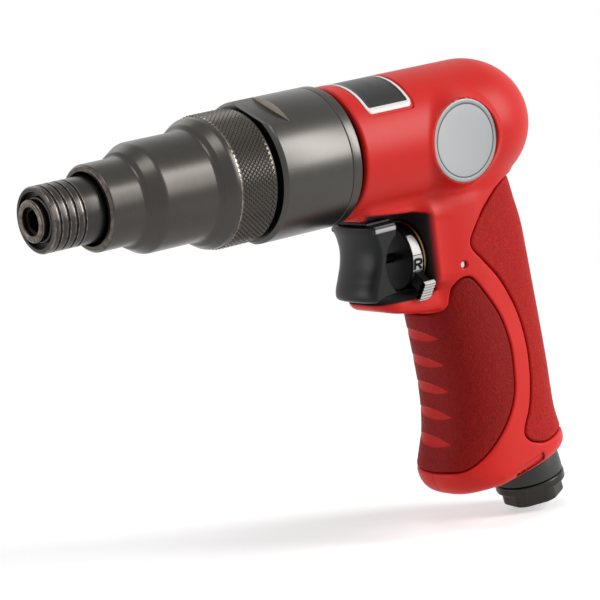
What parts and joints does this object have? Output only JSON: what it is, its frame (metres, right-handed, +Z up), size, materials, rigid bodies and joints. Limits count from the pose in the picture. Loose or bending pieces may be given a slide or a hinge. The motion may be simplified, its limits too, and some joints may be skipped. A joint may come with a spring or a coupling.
{
  "type": "pneumatic screwdriver",
  "caption": "Pistol-grip air screwdriver: stepped clutch nose with quick-change hex chuck, gear case, moulded grip, trigger, reverse knob and threaded air inlet at the base.",
  "frame": {"origin": "on the spindle axis at the mouth of the hex bit socket", "axes": "+X runs back along the barrel, +Z up, the tool's left side with the badge faces -Y"},
  "size_m": [0.181, 0.042, 0.1429],
  "materials": {
    "housing_red": "gloss paint on a die casting",
    "grip_red": "fine leather grain",
    "label_black": "gloss film with a white border",
    "badge_silver": "satin",
    "pin_steel": "satin",
    "case_steel": "satin, turned",
    "nose_gunmetal": "dark satin, turned",
    "bush_bronze": "sintered",
    "hard_steel": "ground",
    "gear_steel": "machined",
    "bearing_steel": "polished",
    "plate_iron": "machined",
    "valve_brass": "turned",
    "seal_black": "smooth",
    "spring_steel": "drawn wire",
    "inlet_gunmetal": "blackened",
    "collar_black": "moulded",
    "muffler_felt": "felt",
    "sleeve_dark": "satin, turned",
    "spindle_steel": "turned",
    "vane_fibre": "cut laminate",
    "trigger_black": "moulded, gloss",
    "valve_acetal": "turned"
  },
  "bodies": {
    "body": {"housing": "housing_red", "front_grip": "grip_red", "rear_grip": "grip_red", "label_plate": "label_black", "medallion": "badge_silver", "valve_pin": "pin_steel", "gear_case": "case_steel", "clamp_ring": "case_steel", "nose_housing": "nose_gunmetal", "nose_bush": "bush_bronze", "thrust_washer": "hard_steel", "ring_gear": "gear_steel", "carrier_bearing": "bearing_steel", "rotor_front_bearing": "bearing_steel", "rotor_rear_bearing": "bearing_steel", "front_end_plate": "plate_iron", "rear_end_plate": "plate_iron", "motor_cylinder": "plate_iron", "cylinder_pin": "pin_steel", "valve_bushing": "valve_brass", "bushing_seals": "seal_black", "throttle_seat": "seal_black", "valve_spring": "spring_steel", "inlet_bushing": "inlet_gunmetal", "inlet_screen": "pin_steel", "inlet_seal": "seal_black", "exhaust_collar": "collar_black", "exhaust_muffler": "muffler_felt"},
    "spindle": {"spindle": "spindle_steel", "retaining_ring": "spring_steel", "bit_ball": "bearing_steel", "sleeve_spring": "spring_steel", "clutch_balls": "bearing_steel"},
    "sleeve": {"chuck_sleeve": "sleeve_dark"},
    "carrier": {"planet_carrier": "gear_steel", "planet_pins": "pin_steel", "adjusting_nut": "hard_steel", "spring_washer": "hard_steel", "clutch_spring": "spring_steel"},
    "cam": {"clutch_cam": "hard_steel"},
    "planet_1": {"planet_gear_1": "gear_steel"},
    "planet_2": {"planet_gear_2": "gear_steel"},
    "planet_3": {"planet_gear_3": "gear_steel"},
    "rotor": {"rotor": "hard_steel", "rotor_vanes": "vane_fibre"},
    "trigger": {"trigger": "trigger_black", "trigger_stem": "pin_steel", "trigger_pin": "pin_steel", "throttle_valve": "valve_brass"},
    "reverser": {"reverse_knob": "trigger_black", "reverse_valve": "valve_acetal"}
  },
  "joints": [
    {"name": "spindle_spin", "type": "hinge", "parent": "body", "child": "spindle", "pos_m": [0.03, 0, 0], "axis": [1, 0, 0], "continuous": true},
    {"name": "carrier_spin", "type": "hinge", "parent": "body", "child": "carrier", "pos_m": [0.077, 0, 0], "axis": [1, 0, 0], "continuous": true},
    {"name": "rotor_spin", "type": "hinge", "parent": "body", "child": "rotor", "pos_m": [0.12, 0, 0], "axis": [1, 0, 0], "continuous": true},
    {"name": "planet_1_spin", "type": "hinge", "parent": "carrier", "child": "planet_1", "pos_m": [0.0893, 0, 0.0096], "axis": [1, 0, 0], "continuous": true},
    {"name": "planet_2_spin", "type": "hinge", "parent": "carrier", "child": "planet_2", "pos_m": [0.0893, -0.00831, -0.0048], "axis": [1, 0, 0], "continuous": true},
    {"name": "planet_3_spin", "type": "hinge", "parent": "carrier", "child": "planet_3", "pos_m": [0.0893, 0.00831, -0.0048], "axis": [1, 0, 0], "continuous": true},
    {"name": "sleeve_slide", "type": "slide", "parent": "spindle", "child": "sleeve", "axis": [1, 0, 0], "range_m": [0, 0.0042], "stiffness_N_per_m": 1500, "springref_m": -0.003, "deforming": ["sleeve_spring"]},
    {"name": "clutch_slide", "type": "slide", "parent": "carrier", "child": "cam", "axis": [1, 0, 0], "range_m": [0, 0.0018], "stiffness_N_per_m": 9000, "springref_m": -0.004, "deforming": ["clutch_spring"]},
    {"name": "trigger_slide", "type": "slide", "parent": "body", "child": "trigger", "axis": [1, 0, 0], "range_m": [0, 0.0043], "stiffness_N_per_m": 1200, "springref_m": -0.003, "deforming": ["valve_spring"]},
    {"name": "reverse_turn", "type": "hinge", "parent": "body", "child": "reverser", "pos_m": [0.127, 0, -0.035], "axis": [1, 0, 0], "range_deg": [-66, 0]}
  ],
  "couplings": [
    {"joint": "carrier_spin", "follows": "spindle_spin", "ratio": 1},
    {"joint": "rotor_spin", "follows": "spindle_spin", "ratio": 4},
    {"joint": "planet_1_spin", "follows": "spindle_spin", "ratio": -3},
    {"joint": "planet_2_spin", "follows": "spindle_spin", "ratio": -3},
    {"joint": "planet_3_spin", "follows": "spindle_spin", "ratio": -3}
  ]
}
